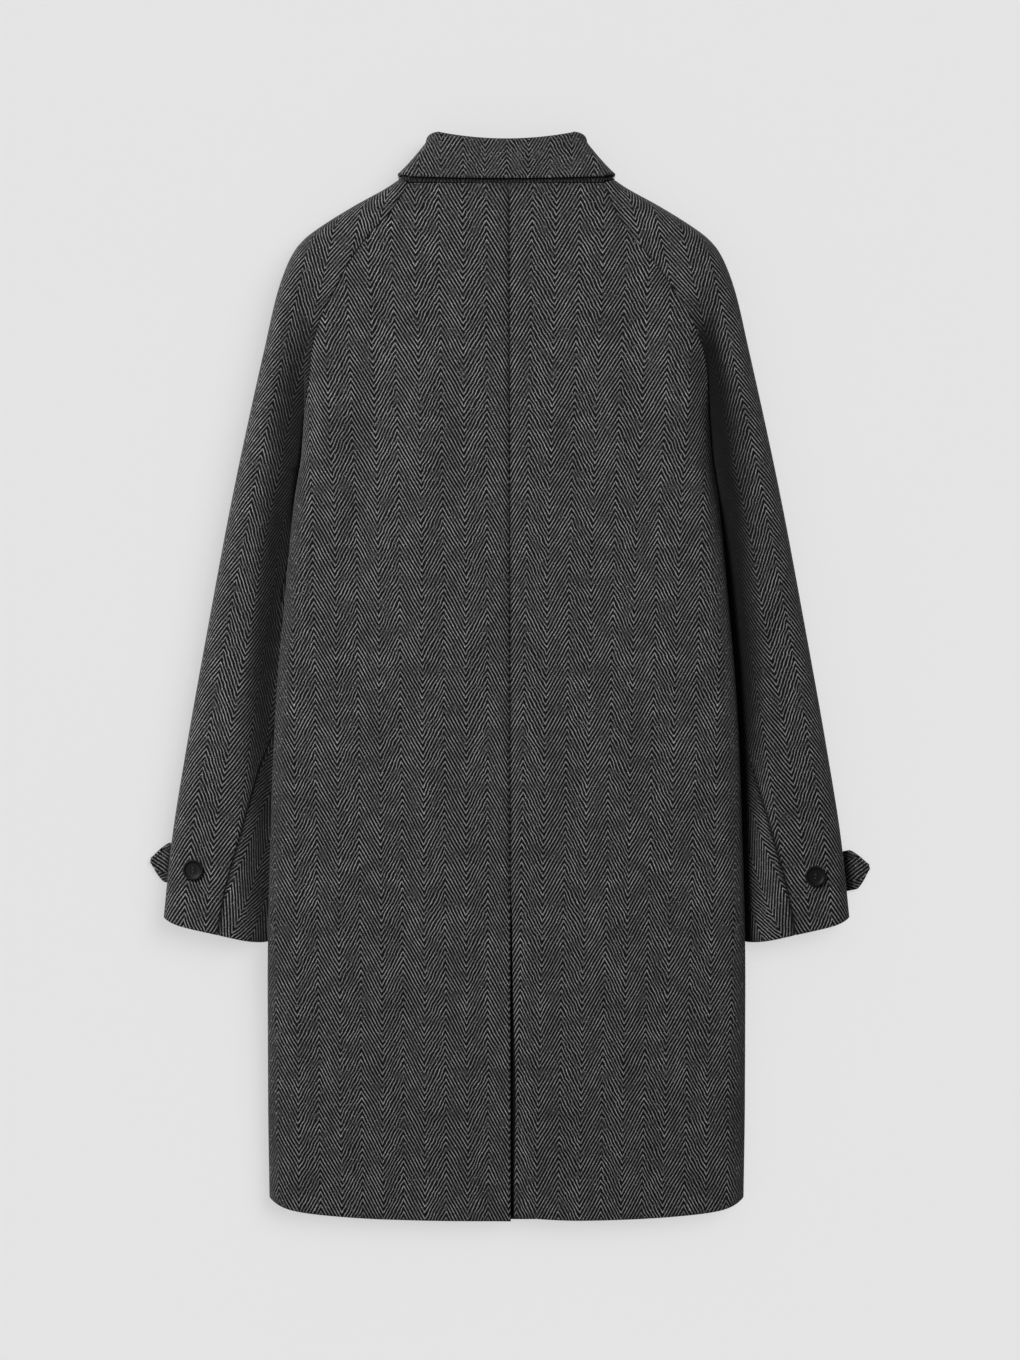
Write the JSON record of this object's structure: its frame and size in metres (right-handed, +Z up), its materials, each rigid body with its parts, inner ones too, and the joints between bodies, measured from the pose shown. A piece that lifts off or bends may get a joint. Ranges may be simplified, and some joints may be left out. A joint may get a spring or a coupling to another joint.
{
  "type": "raglan overcoat",
  "caption": "Long raglan overcoat lying flat with its back up: turned-down collar, centre back vent, hollow sleeves, pointed cuff straps and cuff buttons.",
  "frame": {"origin": "centre of the bounding box at its base, on the surface on which the coat lies", "axes": "+X across the coat to the wearer's right, +Y along it from the hem to the collar, +Z up off the surface"},
  "size_m": [0.724, 1.09, 0.036],
  "materials": {
    "wool_cloth": "brushed wool herringbone in charcoal and light grey, matt",
    "horn_button": "black, satin"
  },
  "bodies": {
    "root": {"back_left": "wool_cloth", "back_right": "wool_cloth", "front_left": "wool_cloth", "front_right": "wool_cloth", "sleeve_back_left": "wool_cloth", "sleeve_back_right": "wool_cloth", "sleeve_front_left": "wool_cloth", "sleeve_front_right": "wool_cloth", "collar_stand": "wool_cloth", "collar_fall": "wool_cloth", "cuff_strap_left": "wool_cloth", "cuff_strap_right": "wool_cloth", "cuff_button_left": "horn_button", "cuff_button_right": "horn_button"}
  },
  "joints": []
}
